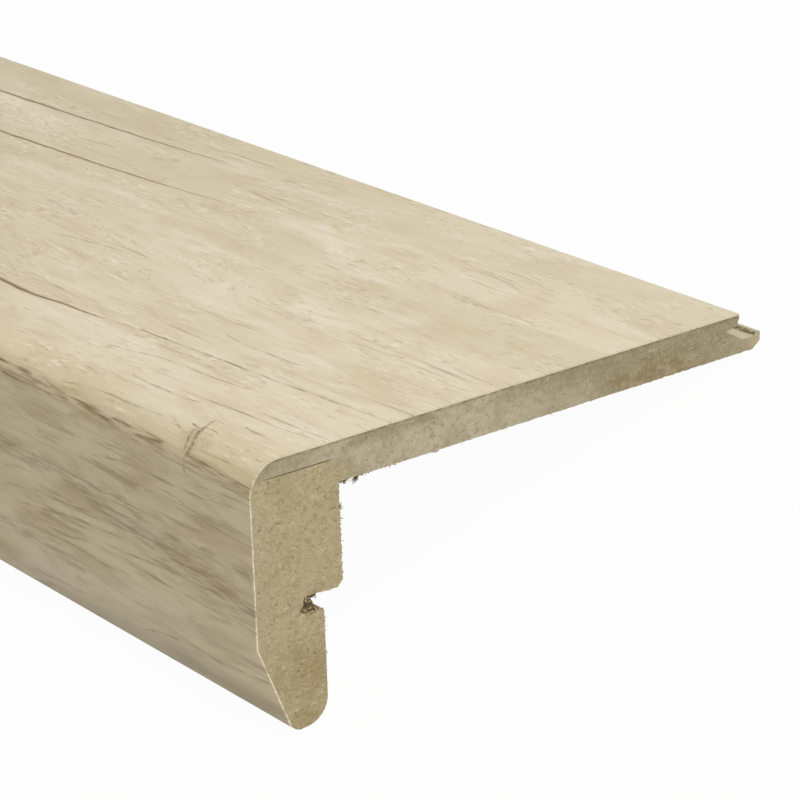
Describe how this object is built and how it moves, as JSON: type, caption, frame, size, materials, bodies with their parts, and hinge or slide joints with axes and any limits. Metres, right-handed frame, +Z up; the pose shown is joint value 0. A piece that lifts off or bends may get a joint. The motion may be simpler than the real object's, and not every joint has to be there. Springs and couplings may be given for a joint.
{
  "type": "landing nosing",
  "caption": "Long L-shaped landing nosing: a click floorboard with a rounded, tapered nose block along its front, wrapped in pale wood-look foil.",
  "frame": {"origin": "middle of the footprint on the floor, as the nosing lies unheld with its tread up", "axes": "+X along the length towards the cut end that the picture shows, +Y from the nose back to the click edge, +Z up; the tread slopes down to the rear by the rest tilt"},
  "size_m": [1.3, 0.1232, 0.0506],
  "materials": {
    "hdf_board": "matte",
    "mdf_nose_block": "matte",
    "decor_foil": "matte"
  },
  "bodies": {
    "root": {"hdf_board": "hdf_board", "mdf_nose_block": "mdf_nose_block", "decor_foil": "decor_foil"}
  },
  "joints": []
}
